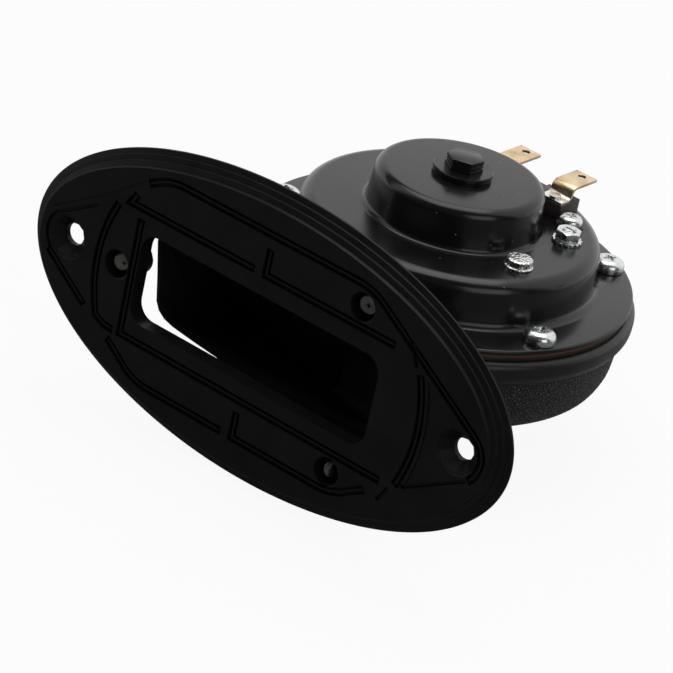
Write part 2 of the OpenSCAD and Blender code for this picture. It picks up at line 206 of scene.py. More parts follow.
# An upright rod, as a drill
def rod(r, low, high, x, y, steps=32):
    return turnedPiece([(0, low), (r, low), (r, high), (0, high)], x, y, steps)


# A wall of even width that stands on a chain of points, from one level to another
def standingWall(line, wide, low, high, shorten=0.0):
    points = [Vector(p).to_3d() for p in line]
    if shorten:
        points[0] = points[0] + (points[1] - points[0]).normalized() * shorten
        points[-1] = points[-1] + (points[-2] - points[-1]).normalized() * shorten
    wall = startPoint(points[0].x, points[0].y, low)
    for here, there in zip(points, points[1:]):
        pull((there - here) * mm)
    bpy.ops.mesh.select_all(action="SELECT")
    pull((0, 0, (high - low) * mm))
    backToObject()
    settle(wall)
    addModifier(wall, "SOLIDIFY", thickness=wide * mm, offset=0.0, use_even_offset=True, use_rim=True)
    editAll()
    closeShape(wall)
    return wall


# A block with rounded upright corners
def roundedBlock(x, y, wide, high, corner, low, top, steps=8):
    deselect()
    bpy.ops.mesh.primitive_plane_add(size=1, location=(x * mm, y * mm, low * mm))
    block = bpy.context.object
    editAll()
    scaleBy(wide * mm, high * mm, (x * mm, y * mm, low * mm))
    bpy.ops.mesh.bevel(offset=corner * mm, segments=steps, affect="VERTICES")
    bpy.ops.mesh.select_all(action="SELECT")
    pull((0, 0, (top - low) * mm))
    closeShape(block)
    return block


# Points along a chain, closer together than a spacing, on a smooth curve through the chain's points
def fineChain(points, spacing):
    chain = []
    last = len(points) - 1
    for i in range(last):
        a, b, c, d = (Vector(points[max(0, min(last, i + k))]) for k in (-1, 0, 1, 2))
        count = max(1, math.ceil((c - b).length / spacing))
        for k in range(count):
            t = k / count
            bend = (2 * a - 5 * b + 4 * c - d) * t ** 2 + (3 * b - a - 3 * c + d) * t ** 3
            chain.append(tuple(0.5 * (2 * b + (c - a) * t + bend)))
    return chain + [tuple(points[-1])]


# Finishes: every pattern reads Object coordinates, in metres

def newFinish(name, **sockets):
    material = bpy.data.materials.new(name)
    material.use_nodes = True
    shader = material.node_tree.nodes["Principled BSDF"]
    for socket, value in sockets.items():
        shader.inputs[socket.replace("_", " ")].default_value = value
    return material, shader


# One shader node of a material or the world, with its inputs set or linked
def node(owner, kind, inputs=None, **values):
    made = owner.node_tree.nodes.new("ShaderNode" + kind)
    for name, value in values.items():
        setattr(made, name, value)
    for socket, value in (inputs or {}).items():
        if isinstance(value, bpy.types.NodeSocket):
            owner.node_tree.links.new(value, made.inputs[socket])
        else:
            made.inputs[socket].default_value = value
    return made


def objectPlace(material):
    return node(material, "TexCoord").outputs["Object"]


# Soft noise across the piece: scale is in cells a metre
def cloud(material, scale, detail=3.0, roughness=0.5, stretch=(1, 1, 1)):
    mapping = node(material, "Mapping", {"Vector": objectPlace(material), "Scale": stretch})
    made = node(material, "TexNoise", {"Vector": mapping.outputs["Vector"], "Scale": scale,
                                       "Detail": detail, "Roughness": roughness})
    return made.outputs["Fac"]


def cellDistance(material, place, scale, feature="F1"):
    return node(material, "TexVoronoi", {"Vector": place, "Scale": scale}, feature=feature).outputs["Distance"]


def ramp(owner, fac, stops):
    made = node(owner, "ValToRGB", {"Fac": fac})
    band = made.color_ramp
    while len(band.elements) < len(stops):
        band.elements.new(0.5)
    for element, (at, colour) in zip(band.elements, stops):
        element.position = at
        element.color = (*colour, 1)
    return made.outputs["Color"]


def between(material, fac, low, high, start=0.3, end=0.7):
    return node(material, "MapRange", {"Value": fac, "From Min": start, "From Max": end,
                                       "To Min": low, "To Max": high}).outputs["Result"]


def mixed(material, share, first, second):
    return node(material, "Mix", {"Factor": share, "A": first, "B": (*second, 1)}, data_type="RGBA").outputs[2]


def coat(material, shader, colour, roughness):
    material.node_tree.links.new(colour, shader.inputs["Base Color"])
    material.node_tree.links.new(roughness, shader.inputs["Roughness"])


def relief(material, shader, height, strength, distance):
    bump = node(material, "Bump", {"Height": height, "Strength": strength, "Distance": distance})
    material.node_tree.links.new(bump.outputs["Normal"], shader.inputs["Normal"])


# Moulded black plastic: faint mottling, uneven sheen and a fine stipple
def moulding(name, dark, light, roughness, specular, grain):
    material, shader = newFinish(name, Specular_IOR_Level=specular)
    coat(material, shader, ramp(material, cloud(material, 90, 4, 0.6), [(0.3, dark), (0.7, light)]),
         between(material, cloud(material, 260, 5), roughness - 0.05, roughness + 0.07))
    relief(material, shader, cloud(material, grain, 2), 0.25, 0.00004)
    return material


# Black plastic with the leather grain of its mould: rounded cells between fine creases, the creases painted near black
# as shade
leather = {"warp": 700.0, "push": 0.0006, "cells": 1150.0, "padFrom": 0.28, "deep": 0.0004,
           "paintedCreaseShade": (0.003, 0.003, 0.0033), "pad": (0.032, 0.0315, 0.032)}


def leatherMoulding():
    material, shader = newFinish("leatherMoulding", Specular_IOR_Level=0.4)
    place = objectPlace(material)
    warp = node(material, "TexNoise", {"Vector": place, "Scale": leather["warp"], "Detail": 2.0})
    push = node(material, "VectorMath", {0: warp.outputs["Color"], 1: (leather["push"],) * 3}, operation="MULTIPLY")
    moved = node(material, "VectorMath", {0: place, 1: push.outputs["Vector"]}, operation="ADD")
    cells = cellDistance(material, moved.outputs["Vector"], leather["cells"], "DISTANCE_TO_EDGE")
    pads = between(material, cells, 0.0, 1.0, 0.0, leather["padFrom"])
    # The creases' near-black colour is painted shade; the pads carry the plastic's own tone
    coat(material, shader, ramp(material, pads, [(0.0, leather["paintedCreaseShade"]), (0.8, leather["pad"])]),
         between(material, pads, 0.62, 0.42, 0.0, 1.0))
    relief(material, shader, pads, 1.0, leather["deep"])
    return material


# Stoved gloss black on pressed steel, with a slight orange peel and a few specks of dust
paint = {"dark": (0.004, 0.004, 0.0042), "light": (0.008, 0.0078, 0.0078), "dust": (0.22, 0.21, 0.20),
         "specks": 300.0, "gloss": (0.16, 0.25), "peel": 420}


def enamel():
    material, shader = newFinish("stovedEnamel", Specular_IOR_Level=0.42)
    black = ramp(material, cloud(material, 60, 3), [(0.3, paint["dark"]), (0.75, paint["light"])])
    dust = between(material, cellDistance(material, objectPlace(material), paint["specks"]), 0.0, 1.0, 0.05, 0.03)
    coat(material, shader, mixed(material, dust, black, paint["dust"]),
         between(material, cloud(material, 140, 4), *paint["gloss"]))
    relief(material, shader, cloud(material, paint["peel"], 2), 0.16, 0.00006)
    return material


# Zinc plating: bluish bright metal with uneven sheen and drawn scratches
def brightZinc():
    material, shader = newFinish("brightZinc", Metallic=1.0)
    coat(material, shader,
         ramp(material, cloud(material, 900, 4, 0.6), [(0.3, (0.62, 0.65, 0.66)), (0.7, (0.86, 0.87, 0.86))]),
         between(material, cloud(material, 1500, 5), 0.14, 0.34))
    relief(material, shader, cloud(material, 3000, 4, 0.6, (1, 4, 1)), 0.18, 0.00003)
    return material


# The same plating over a coarse knurl, lighter on the crests and darker between them
def knurledPlating():
    material, shader = newFinish("knurledZinc", Metallic=1.0)
    crests = cellDistance(material, objectPlace(material), 1250.0)
    coat(material, shader, ramp(material, crests, [(0.1, (0.93, 0.93, 0.91)), (0.75, (0.62, 0.62, 0.61))]),
         between(material, cloud(material, 1500, 5), 0.2, 0.36))
    relief(material, shader, between(material, crests, 1.0, 0.0), 0.6, 0.00016)
    return material


def plainSteel(name, dark, light, low, high, stretch=(1, 1, 1)):
    material, shader = newFinish(name, Metallic=1.0)
    coat(material, shader, ramp(material, cloud(material, 400, 4), [(0.3, dark), (0.7, light)]),
         between(material, cloud(material, 1200, 4, 0.6, stretch), low, high))
    relief(material, shader, cloud(material, 4000, 3, 0.6, stretch), 0.1, 0.00002)
    return material


# Yellow passivated plating: tan gold that shifts paler and pinker in patches, with a tinned seat
plating = {"deep": (0.62, 0.43, 0.23), "plain": (0.78, 0.58, 0.36), "pale": (0.88, 0.73, 0.53),
           "tin": (0.86, 0.85, 0.80), "tinFrom": 0.0207, "tinTo": 0.0201}  # the tinned seat's levels, metres


def passivatedBrass():
    material, shader = newFinish("yellowPassivate", Metallic=1.0)
    yellow = ramp(material, cloud(material, 260, 4, 0.55),
                  [(0.28, plating["deep"]), (0.5, plating["plain"]), (0.74, plating["pale"])])
    level = node(material, "SeparateXYZ", {0: objectPlace(material)}).outputs["Z"]
    seat = between(material, level, 0.0, 1.0, plating["tinFrom"], plating["tinTo"])
    coat(material, shader, mixed(material, seat, yellow, plating["tin"]),
         between(material, cloud(material, 1400, 5, 0.6, (1, 6, 1)), 0.24, 0.42))
    relief(material, shader, cloud(material, 5000, 3, 0.6, (1, 8, 1)), 0.12, 0.00002)
    return material


# Brown vulcanised fibre: short fibres pressed flat
def vulcanFibre():
    material, shader = newFinish("vulcanFibre", Specular_IOR_Level=0.3)
    strands = cloud(material, 2600, 6, 0.7, (1, 1, 5))
    browns = [(0.3, (0.035, 0.011, 0.005)), (0.55, (0.10, 0.036, 0.014)), (0.8, (0.20, 0.085, 0.036))]
    coat(material, shader, ramp(material, strands, browns), between(material, strands, 0.55, 0.85))
    relief(material, shader, strands, 0.4, 0.00005)
    return material


# Enamelled copper wire, layer on layer round the bobbin, with the grooves between turns painted dark as shade
def woundWire():
    material, shader = newFinish("enamelledCopper", Metallic=1.0, Coat_Weight=0.5, Coat_Roughness=0.1)
    turns = node(material, "TexWave", {"Vector": objectPlace(material), "Scale": 800.0, "Distortion": 0.4},
                 bands_direction="Z").outputs["Fac"]
    # Dark in the grooves between turns: painted shade; the copper's own tone on the crests
    coat(material, shader, ramp(material, turns, [(0.1, (0.10, 0.03, 0.01)), (0.8, (0.50, 0.19, 0.07))]),
         between(material, turns, 0.5, 0.25, 0.0, 1.0))
    relief(material, shader, turns, 0.6, 0.0001)
    return material


def nylon(name, dark, light):
    material, shader = newFinish(name, Specular_IOR_Level=0.45)
    coat(material, shader, ramp(material, cloud(material, 300, 4), [(0.3, dark), (0.7, light)]),
         between(material, cloud(material, 700, 4), 0.38, 0.55))
    relief(material, shader, cloud(material, 3500, 2), 0.2, 0.00003)
    return material


plateMoulding = moulding("satinMoulding", (0.0038, 0.0038, 0.0042), (0.0062, 0.006, 0.0064), 0.40, 0.16, 5200)
bodyMoulding = moulding("bodyMoulding", (0.004, 0.004, 0.0045), (0.008, 0.0078, 0.008), 0.36, 0.4, 4200)
# The duct's inside: the body's moulding made darker and duller, as painted shade in the hollow
ductPaintedShade = moulding("ductPaintedShade", (0.0022, 0.002, 0.002), (0.004, 0.0036, 0.0034), 0.6, 0.2, 1800)
blockMoulding = moulding("phenolicBlock", (0.022, 0.017, 0.018), (0.045, 0.034, 0.034), 0.42, 0.5, 2600)
brushedBlack = moulding("brushedBlack", (0.004, 0.004, 0.004), (0.008, 0.0078, 0.0078), 0.24, 0.42, 2200)
bowlMoulding = leatherMoulding()
glossBlack = enamel()
zinc = brightZinc()
knurledZinc = knurledPlating()
brass = passivatedBrass()
fibre = vulcanFibre()
copper = woundWire()
springSteel = plainSteel("springSteel", (0.36, 0.36, 0.37), (0.52, 0.52, 0.53), 0.22, 0.38, (1, 5, 1))
dullSteel = plainSteel("dulledSteel", (0.05, 0.048, 0.047), (0.12, 0.115, 0.11), 0.30, 0.45)
groundSteel = plainSteel("groundSteel", (0.42, 0.42, 0.43), (0.58, 0.58, 0.60), 0.28, 0.45)
# Steel of the screws sunk in the plate's pockets: darker than the zinc, partly its own finish and partly painted shade
# of the pockets
pocketSteelAndShade = plainSteel("pocketSteelAndShade", (0.14, 0.135, 0.13), (0.30, 0.29, 0.28), 0.22, 0.36)
silverFacing = plainSteel("silverFacing", (0.68, 0.67, 0.64), (0.86, 0.85, 0.82), 0.18, 0.3)
bobbinNylon = nylon("bobbinNylon", (0.50, 0.44, 0.33), (0.66, 0.60, 0.47))
brownPhenolic = nylon("brownPhenolic", (0.014, 0.007, 0.005), (0.03, 0.015, 0.009))

nodeFinishes = {
    "mounting_plate": plateMoulding, "trumpet_body": bodyMoulding, "trumpet_bowl": bowlMoulding,
    "cover": glossBlack, "core_screw": brushedBlack, "core_washer": brushedBlack,
    "terminal_block": blockMoulding, "plate_screws": pocketSteelAndShade, "flange_screws": zinc, "armature_nut": zinc,
    "stack_nut_plate": zinc, "stack_screw": zinc, "adjusting_screw": zinc, "adjuster_bush": zinc,
    "lock_nut": zinc, "lock_washer": zinc, "knurled_stud": knurledZinc, "terminal_rivets": zinc,
    "near_terminal": brass, "far_terminal": brass, "fixed_contact_arm": brass, "lower_gasket": brownPhenolic,
    "upper_gasket": fibre, "diaphragm": dullSteel, "arm_root": springSteel, "moving_contact_arm": springSteel,
    "armature": groundSteel, "core": groundSteel, "fixed_contact": silverFacing, "moving_contact": silverFacing,
    "coil_winding": copper, "coil_bobbin": bobbinNylon, "arm_button": brownPhenolic,
    "stack_insulators": brownPhenolic,
}
for name, finishHere in nodeFinishes.items():
    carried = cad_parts[name]
    carried.data.materials.clear()
    carried.data.materials.append(finishHere)
print("finishes on", len(nodeFinishes), "carried nodes")


# The grille plate: drawn flat with its front upwards, then stood up on its seat
plate = {
    "long": 143.6, "high": 74.8, "sides": 224, "front": 4.2, "edge": 0.16, "gapSides": 8,
    "rim": ((0, 0.55), (1.25, 1.1), (1.35, 1.65), (2.55, 2.1), (2.65, 2.7), (3.9, 3.3), (4.1, 4.2)),  # inset, height
    "opening": (-1.35, -0.1, 71.9, 23.2, 4.5),  # middle, wide, high, corner
    "groove": {"wide": 2.2, "deep": 1.15, "rib": 0.5, "ribTop": 0.22},
    "fineLine": (0.95, 0.8), "faintLine": (0.55, 0.22),  # wide, deep
    "holes": 59.2, "holeRadius": 2.7, "sinkRadius": 5.3, "sinkDeep": 3.0, "sinkSides": 9, "lip": 0.3,
    "pockets": ((-43.5, 0), (26.4, 21.5), (26.4, -21.5)), "pocketRadius": 3.5, "pocketFloor": 0.8,
    "pocketBore": 2.1,
}
grooves = [
    [(-38.5, 23.5)] + arcPoints(-28.5, 12.2, 14.8, 118, 90, 5) + arcPoints(24, 11.9, 15.1, 90, 58, 8)
    + arcPoints(59.2, 0, 6.75, 58, -50, 14),
    arcPoints(-10, -1, 39.4, 156, 201, 16) + [(-44, -16.3), (-41, -16.5)],
    arcPoints(8.6, -1, 39.4, 21, -22, 16),
    [(-64.3, -5.1), (-50.8, -14.3)],
    [(-38.75, 14), (-38.75, -16.3), (41, -16.5)],
    [(-41, 19.5), (-42.6, 16.8), (-4.6, 16.8)],
    [(-1.2, 23.3), (-1.2, 16.8), (37.2, 16.8)],
    [(-42.2, -19.2), (-37.5, -22.5)] + arcPoints(-28, -12, 14.2, 242, 270, 6) + [(-4.6, -26.2)],
    [(-1.2, -19.5), (-1.2, -26.2)] + arcPoints(24.5, -11.9, 14.3, 270, 310, 8) + [(37.6, -20.5)],
]
fineLines = [
    [(63.2, -5.4), (47.4, -14.9), (46.2, -14.2)],
    [(-63.9, -5.2)] + arcPoints(-59.2, 0, 6.35, 222, 118, 12) + [(-51.7, 12.1)],
    arcPoints(8.6, -1, 38.6, 33, 23.5, 4),
    arcPoints(8.6, -1, 38.6, -24.5, -32, 4),
]
faintLines = [
    [(-64.6, 6.2), (-57, 11), (-50, 15.6), (-44, 20.2), (-40.5, 22.9)],
    arcPoints(8.6, -1, 41.6, 19, -20, 12),
]


def grillePlate():
    deselect()
    bpy.ops.mesh.primitive_circle_add(vertices=plate["sides"], radius=mm, fill_type="NGON")
    blank = bpy.context.object
    editAll()
    a, b, level = plate["long"] / 2, plate["high"] / 2, 0
    scaleBy(a, b)
    for inset, height in plate["rim"]:
        nextA, nextB = plate["long"] / 2 - inset, plate["high"] / 2 - inset
        pull((0, 0, (height - level) * mm))
        scaleBy(nextA / a, nextB / b)
        a, b, level = nextA, nextB, height
    closeShape(blank)

    front, above = plate["front"], plate["front"] + 1
    cut(blank, roundedBlock(*plate["opening"], -1, above))
    hole, sink, lip = plate["holeRadius"], plate["sinkRadius"], front - plate["lip"]
    foot = front - plate["sinkDeep"] - plate["lip"]
    for x in (-plate["holes"], plate["holes"]):
        cone = [(0, foot), (hole - 0.25, foot), (sink, lip), (sink, above), (0, above)]
        cut(blank, turnedPiece(cone, x, 0, plate["sinkSides"]))
        broken = [(0, lip), (sink + 0.02, lip), (sink + 0.3, front), (sink + 0.3, above), (0, above)]
        cut(blank, turnedPiece(broken, x, 0, 64))
        cut(blank, rod(hole, -1, above, x, 0, 48))
    r, bore, floor = plate["pocketRadius"], plate["pocketBore"], plate["pocketFloor"]
    pocket = [(0, -1), (bore, -1), (bore, floor), (r, floor), (r, front - 0.15), (r + 0.2, front),
              (r + 0.2, above), (0, above)]
    for x, y in plate["pockets"]:
        cut(blank, turnedPiece(pocket, x, y, 48))

    size = plate["groove"]
    floor = front - size["deep"]
    channels = joinPieces([standingWall(line, size["wide"], floor, above) for line in grooves], "channels")
    ribs = [standingWall(line, size["rib"], floor - 0.5, front - size["ribTop"], 0.5) for line in grooves]
    cut(channels, joinPieces(ribs, "ribs"))
    cut(blank, channels)
    for lines, (wide, deep) in ((fineLines, plate["fineLine"]), (faintLines, plate["faintLine"])):
        for line in lines:
            cut(blank, standingWall(line, wide, front - deep, above))
    softenEdges(blank, plate["edge"], 40)
    useOnly(blank)
    editAll()
    bpy.ops.mesh.remove_doubles(threshold=weldGap)
    bpy.ops.mesh.fill_holes(sides=plate["gapSides"])  # where three grooves' ribs meet, the cut leaves slits
    closeShape(blank)
    blank.rotation_euler = (math.radians(90), 0, 0)
    dress(blank, "grillePlate", plateMoulding, "horn", "mounting_plate", 26)


grillePlate()


# The pressed cover: the line of the press tool, with the sheet's inner side a thickness further in
cover = {
    "flange": 47.5, "low": 2.4, "top": 3.6, "foot": 2.2, "step": 37.2, "stepTop": 15.5, "stepShoulder": 3.4,
    "dome": 21.6, "domeFoot": 1.5, "domeTop": 26.2, "domeShoulder": 2.6, "lean": 0.6, "sheet": 1.2, "bore": 2.7,
    "rim": 0.5, "burr": 0.25, "screwRing": 42.8, "screwAngles": (-20, 52, 124, 196, 268), "steps": 220,
    "screwHole": 2.2, "adjustHole": 1.8, "studHole": 1.65, "rivetHole": 1.05, "flangeCut": (0, 6), "stepCut": (12, 18),
}
stackPlace = polar(29.2, 46)
adjustPlace = polar(28.3, 29.6)
studPlace = polar(27.8, -18.2)
rivetPlaces = ((13, 23.3), (-4.2, 23.3))
screwPlaces = [polar(cover["screwRing"], angle) for angle in cover["screwAngles"]]


# The press tool's line, from the flange up to the dome, set in by a thickness
def coverLine(inset):
    c = cover
    line = arcPoints(c["step"] - inset + c["foot"], c["top"] + c["foot"] - inset, c["foot"], 270, 180, 10)
    line += arcPoints(c["step"] - c["stepShoulder"], c["stepTop"] - c["stepShoulder"],
                      c["stepShoulder"] - inset, 0, 90, 14)
    line += arcPoints(c["dome"] + c["domeFoot"], c["stepTop"] + c["domeFoot"], c["domeFoot"] + inset, 270, 180, 10)
    line += arcPoints(c["dome"] - c["lean"] - c["domeShoulder"], c["domeTop"] - c["domeShoulder"],
                      c["domeShoulder"] - inset, 0, 90, 14)
    return line


def pressedCover():
    c = cover
    outline = [(c["flange"] - c["burr"], c["low"]), (c["flange"], c["low"] + c["burr"])]
    outline += arcPoints(c["flange"] - c["rim"], c["top"] - c["rim"], c["rim"], 0, 90, 4) + coverLine(0)
    outline += [(c["bore"], c["domeTop"]), (c["bore"], c["domeTop"] - c["sheet"])] + coverLine(c["sheet"])[:0:-1]
    outline += [(c["step"] - c["sheet"] + 0.6, c["low"] + 0.6), (c["step"] - c["sheet"] + 1.2, c["low"])]
    shell = turnedPiece(outline + outline[:1], steps=c["steps"])
    drills = [(place, c["screwHole"], c["flangeCut"]) for place in screwPlaces]
    drills += [(stackPlace, c["screwHole"], c["stepCut"]), (adjustPlace, c["adjustHole"], c["stepCut"]),
               (studPlace, c["studHole"], c["stepCut"])]
    drills += [(place, c["rivetHole"], c["stepCut"]) for place in rivetPlaces]
    cut(shell, joinPieces([rod(r, *levels, *onSounder(place)[:2]) for place, r, levels in drills], "drills"))
    dress(shell, "pressedCover", glossBlack, "horn", "cover", 38)


pressedCover()

# The grained bowl: close rings so that the leather relief is real, then the duct's way out and the scroll inside
bowl = {
    "outer": ((46.7, -5.5), (46.7, -8.0), (46.5, -10.5), (46.0, -14.3), (44.5, -17.8), (42.5, -19.9),
              (40.0, -21.1), (37.4, -21.8)),
    "inner": ((0, -19.8), (37.1, -19.8), (39.3, -19.2), (42.3, -16.5), (43.9, -13.5), (44.3, -10.5), (44.5, -5.5)),
    "floor": -21.8, "rings": (0, 8, 16, 24, 31, 35), "steps": 760, "pitch": 0.42,
    "grain": 0.2, "cell": 0.0009, "grainFrom": 38.2, "grainBelow": -6.3, "near": 0.02,
    "duct": ((-11.5, -11, 47, 13.4, 16), (-13, -12, 42, 13.6, 40.2)), "ductCorner": 5.5,  # x, z, wide, high, depth
    "scroll": {"start": 9, "growth": 26, "first": 100, "turn": 330, "thick": 1.6, "levels": (-20.3, -5.0), "steps": 48},
}


# Pushes the cells of the grain out of the skin's rings
def grainSkin(shell, skin):
    outside = shell.vertex_groups.new(name="outside")
    grained = [(r, z) for r, z in skin if z < bowl["grainBelow"] and r > bowl["grainFrom"]]
    near = bowl["near"]
    for vertex in shell.data.vertices:
        r = math.hypot(vertex.co.x, vertex.co.y - sounder["y"] * mm) / mm
        z = vertex.co.z / mm
        if r > bowl["grainFrom"] and any(abs(z - level) < near and abs(r - reach) < near for reach, level in grained):
            outside.add([vertex.index], 1.0, "REPLACE")
    pattern = bpy.data.textures.new("leatherCells", "VORONOI")
    pattern.noise_scale = bowl["cell"]
    pattern.distance_metric = "DISTANCE"
    pattern.weight_1, pattern.weight_2 = -1.0, 1.0
    addModifier(shell, "DISPLACE", texture=pattern, texture_coords="GLOBAL", strength=bowl["grain"] * mm,
                mid_level=1.0, vertex_group="outside")


# A tapering cutter, drawn from the front and laid back along the duct
def ductCutter():
    (x0, z0, wide0, high0, depth0), (x1, z1, wide1, high1, depth1) = bowl["duct"]
    cutter = roundedBlock(x0, z0, wide0, high0, bowl["ductCorner"], depth0, depth0 + 0.01)
    editAll()
    pick(cutter, lambda middle, face: face.normal.z > 0.9)
    bpy.ops.transform.translate(value=((x1 - x0) * mm, (z1 - z0) * mm, (depth1 - depth0) * mm))
    scaleBy(wide1 / wide0, high1 / high0, (x1 * mm, z1 * mm, depth1 * mm))
    backToObject()
    cutter.scale = (1, 1, -1)
    cutter.rotation_euler = (math.radians(90), 0, 0)
    settle(cutter)
    editAll()
    closeShape(cutter)
    return cutter


def leatherBowl():
    skin = fineChain(bowl["outer"], bowl["pitch"])
    floor = [(r, bowl["floor"]) for r in bowl["rings"]]
    shell = turnedPiece(floor + skin[::-1] + list(bowl["inner"])[::-1], steps=bowl["steps"])
    grainSkin(shell, skin)
    cut(shell, ductCutter())
    s = bowl["scroll"]
    shares = [i / s["steps"] for i in range(s["steps"] + 1)]
    way = [onSounder(polar(s["start"] + s["growth"] * t, s["first"] + s["turn"] * t))[:2] for t in shares]
    shell = joinPieces([shell, standingWall(way, s["thick"], *s["levels"])], "leatherBowl")
    dress(shell, "leatherBowl", bowlMoulding, "horn", "trumpet_bowl", 45)


leatherBowl()

# The upper moulding keeps the imported form: a copy is merged, the mouth's edges are broken, a smooth band is laid
# round its ring and the duct's inside gets a darker, duller moulding as painted shade
body = {
    "weld": 4e-6, "flat": 0.1, "edge": 0.3, "rimBack": 9.0, "sharp": 0.7,
    "band": (-5.6, 0.9, 46.5), "sinkBy": 0.9985, "bandIn": 45.5, "bandLow": -5.45, "bandTop": 0.8,
    "passage": (-11.5, 20, 47, 20, 1, -8, -4.2),
    "skin": ((47.25, -5.45), (47.9, -5.0), (48.4, -4.2), (48.75, -3.4), (48.88, -2.4), (48.89, -1.2)),
    "mouth": (-1.0, 4.0, 0.5), "throat": (-12.5, 28.0, -12.0), "inside": (6.2, 40.0), "halfWide": 36, "below": 12,
}


# The moulding's own ring is drawn in a little, and a finely turned band covers it
def smoothBand(shell):
    low, high, reach = body["band"]

    def onRing(place, vertex):
        r = math.hypot(place.x, place.y - sounder["y"] * mm) / mm
        return low < place.z / mm < high and r > reach

    pick(shell, onRing, "VERT")
    scaleBy(body["sinkBy"], body["sinkBy"], (0, sounder["y"] * mm, 0))
    backToObject()
    skin = fineChain(body["skin"], 0.5) + arcPoints(46.89, -1.2, 2.0, 0, 90, 14)
    foot = (body["bandIn"], body["bandLow"])
    band = turnedPiece([foot] + skin + [(body["bandIn"], body["bandTop"]), foot], steps=300)
    cut(band, roundedBlock(*body["passage"]))
    return band


def trumpetBody():
    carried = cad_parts["trumpet_body"]
    shell = carried.copy()
    shell.data = carried.data.copy()
    bpy.context.scene.collection.objects.link(shell)
    settle(shell)
    editAll()
    bpy.ops.mesh.remove_doubles(threshold=body["weld"])
    bpy.ops.mesh.dissolve_limited(angle_limit=math.radians(body["flat"]))
    closeShape(shell)
    editAll()

    def atMouth(place, edge):
        return place.y < body["rimBack"] * mm and edge.is_manifold and edge.calc_face_angle() > body["sharp"]

    pick(shell, atMouth, "EDGE")
    bpy.ops.mesh.bevel(offset=body["edge"] * mm, segments=2, affect="EDGES", clamp_overlap=True)
    joinPieces([shell, smoothBand(shell)], "trumpetBody")
    dress(shell, "trumpetBody", bodyMoulding, "horn", "trumpet_body", 30)
    shell.data.materials.append(ductPaintedShade)
    near, far = Vector(body["mouth"]) * mm, Vector(body["throat"]) * mm
    front, back = body["inside"]

    def isInside(middle, face):
        if not front < middle.y / mm < back or abs(middle.x) > body["halfWide"] * mm:
            return False
        axis = near.lerp(far, min(1.0, (middle.y - near.y) / (far.y - near.y)))
        inwards = Vector((axis.x - middle.x, 0, axis.z - middle.z))
        return inwards.dot(face.normal) > 0.0 and middle.z < body["below"] * mm

    # The faces inside the duct take the painted-shade moulding
    editAll()
    pick(shell, isInside)
    shell.active_material_index = 1
    bpy.ops.object.material_slot_assign()
    backToObject()


trumpetBody()

# Screws with a domed pan head and a cross recess
flangeScrew = {"head": 4.0, "tall": 3.0, "shank": 1.8, "pitch": 0.7, "length": 5.6, "seat": 3.6, "recess": 1.02,
               "turns": (22, 64, 8, 40, 75)}
stackScrew = {"head": 3.0, "tall": 2.2, "shank": 1.5, "pitch": 0.5, "length": 12.1, "seat": 16.5, "recess": 1.02,
              "turns": (20,)}
plateScrew = {"head": 2.8, "tall": 1.4, "shank": 1.75, "pitch": 0.7, "length": 4.5, "seat": 0.8, "recess": 0.5,
              "turns": (30, 12, 55)}


def crossHeadScrew(size):
    r, h, s, pitch, length = (size[key] for key in ("head", "tall", "shank", "pitch", "length"))
    line = [(0, -length), (s - 0.5, -length)]
    for i in range(int((length - 0.8) / pitch), 0, -1):
        line += [(s - 0.32, -i * pitch - 0.3), (s - 0.02, -i * pitch + 0.05)]
    line += [(s - 0.02, -0.35), (s - 0.02, 0), (r - 0.2, 0), (r, 0.2), (r, h * 0.35)]
    line += arcPoints(r - h * 0.65, h * 0.35, h * 0.65, 0, 90, 10)[1:] + [(0, h * 1.06)]
    screw = turnedPiece(line, 0, 0, 56)
    reach, floor, above = size["recess"], h * 0.42, h * 1.3
    for turn in (0, 90):
        slot = roundedBlock(0, 0, r * reach, r * 0.2 * reach, 0.12 * reach, floor, above, 2)
        editAll()
        pick(slot, lambda middle, face: face.normal.z < -0.9)
        scaleBy(0.62, 0.7, (0, 0, floor * mm))
        backToObject()
        slot.rotation_euler = (0, 0, math.radians(turn))
        settle(slot)
        cut(screw, slot)
    point = [(0, h * 0.3), (r * 0.14 * reach, floor), (r * 0.3 * reach, above), (0, above)]
    cut(screw, turnedPiece(point, 0, 0, 24))
    softenEdges(screw, 0.07, 42)
    return screw


def setScrews(name, size, places, tilt, finishHere, replaced):
    first = crossHeadScrew(size)
    row = [copyTo(first, place, turn, tilt) for place, turn in zip(places, size["turns"])]
    bpy.data.objects.remove(first)
    dress(joinPieces(row, name), name, finishHere, "horn", replaced, 40)


flangeSeats = [onSounder(place, flangeScrew["seat"]) for place in screwPlaces]
stackSeat = onSounder(stackPlace, stackScrew["seat"])
pocketSeats = [(x, -plateScrew["seat"], z) for x, z in plate["pockets"]]
setScrews("flangeScrews", flangeScrew, flangeSeats, 0, zinc, "flange_screws")
setScrews("stackScrew", stackScrew, [stackSeat], 0, zinc, "stack_screw")
setScrews("plateScrews", plateScrew, pocketSeats, 90, pocketSteelAndShade, "plate_screws")

# The contact adjuster: slotted threaded stud, chamfered hex nut and toothed washer
adjuster = {
    "stud": 1.5, "low": 8.2, "top": 18.9, "pitch": 0.5, "slot": (0.7, 0.9), "nut": 3.3, "nutLow": 16.2, "nutTop": 18.6,
    "nutTurn": 25.6, "bore": 1.8, "washer": 3.75, "washerLow": 15.5, "washerTop": 16.2, "teeth": 16,
}


def hexPrism(across, low, top):
    deselect()
    bpy.ops.mesh.primitive_circle_add(vertices=6, radius=across * mm, fill_type="NGON", location=(0, 0, low * mm))
    prism = bpy.context.object
    editAll()
    pull((0, 0, (top - low) * mm))
    closeShape(prism)
    return prism


# The double cone that takes the corners off a hexagon's ends
def chamferBody(across, low, top):
    flat, reach = across * 0.866 - 0.05, across + 0.1
    drop = (reach - flat) * 0.6
    line = [(0, low), (flat, low), (reach, low + drop), (reach, top - drop), (flat, top), (0, top)]
    return turnedPiece(line, 0, 0, 72)


